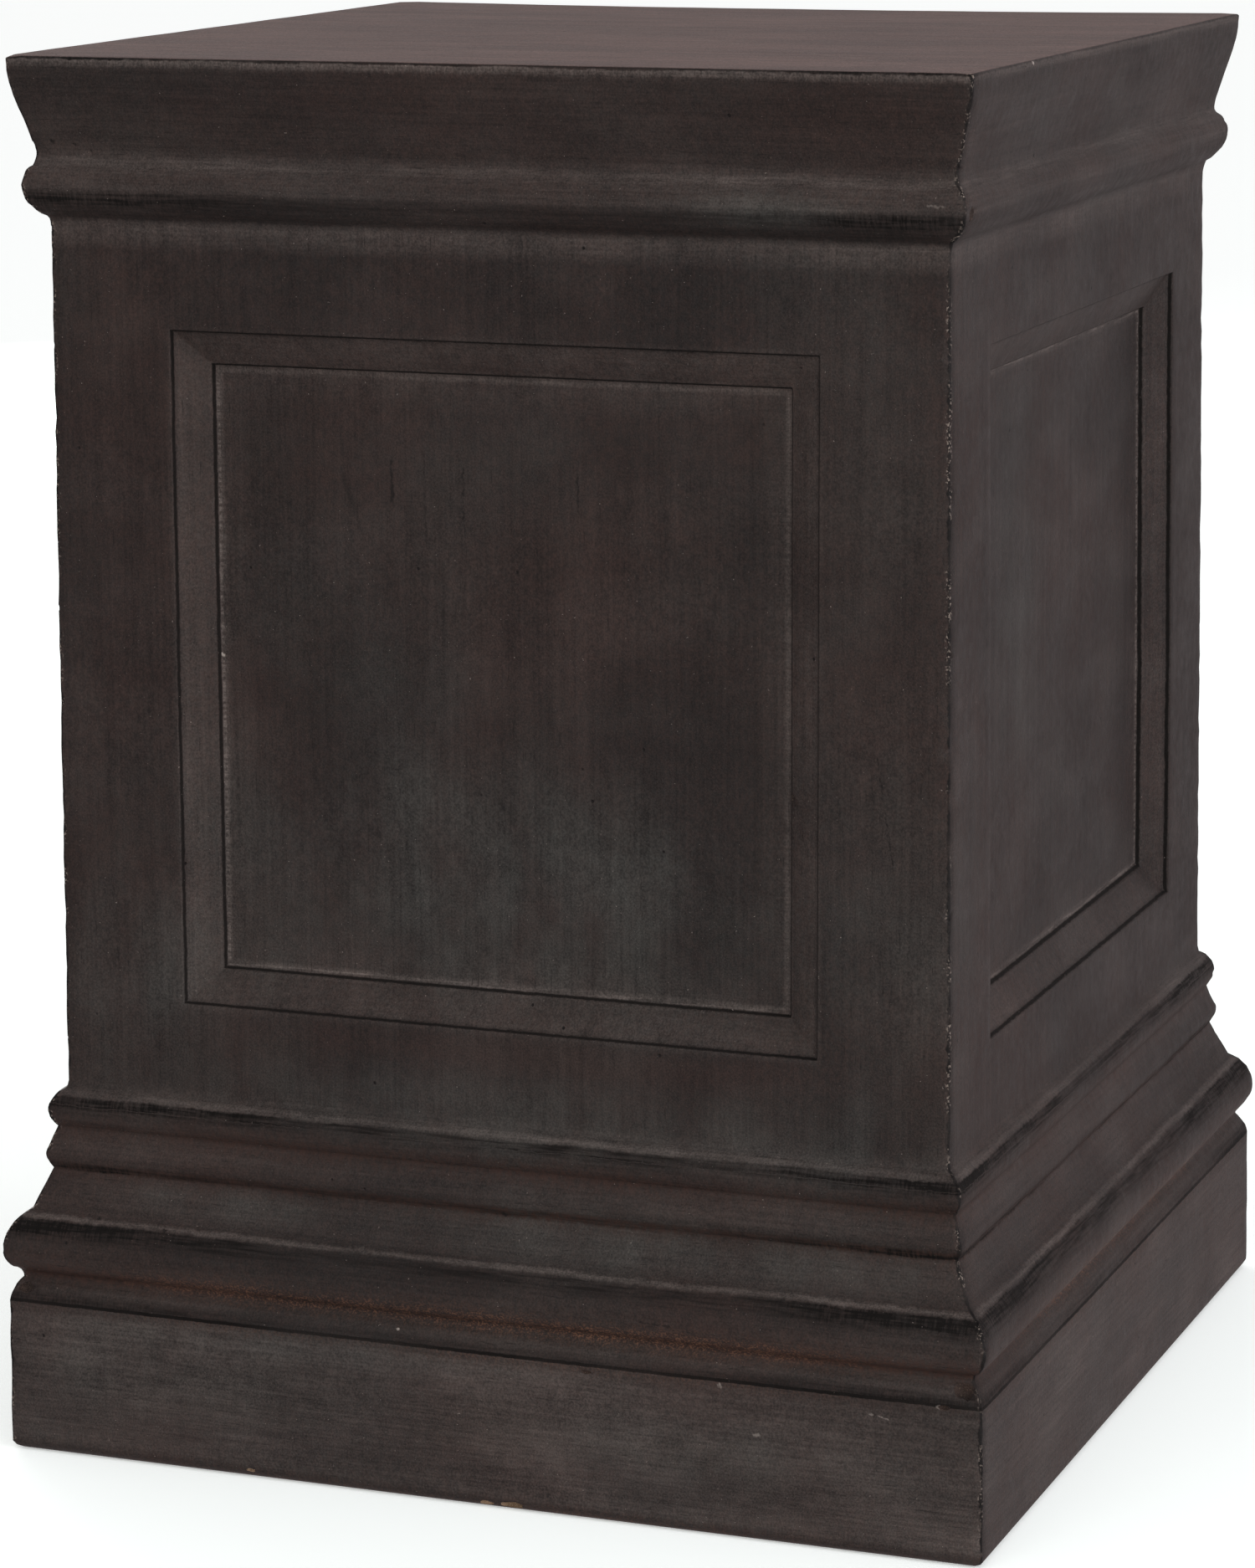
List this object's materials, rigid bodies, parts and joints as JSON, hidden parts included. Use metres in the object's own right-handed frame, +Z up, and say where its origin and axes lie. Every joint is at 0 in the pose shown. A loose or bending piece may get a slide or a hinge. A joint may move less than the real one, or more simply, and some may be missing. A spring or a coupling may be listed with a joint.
{
  "type": "garden plinth",
  "caption": "Square garden plinth with a moulded base, sunk panels on the shaft and a flared cap, hollow and open underneath.",
  "frame": {"origin": "on the ground, under the middle of the plinth", "axes": "+Z up; the front that the picture shows faces -Y; the four sides are alike"},
  "size_m": [0.562, 0.562, 0.762],
  "materials": {
    "washed_clay": "dark lead-coloured wash over cast fibre clay, satin to matt"
  },
  "bodies": {
    "root": {"plinth": "washed_clay"}
  },
  "joints": []
}
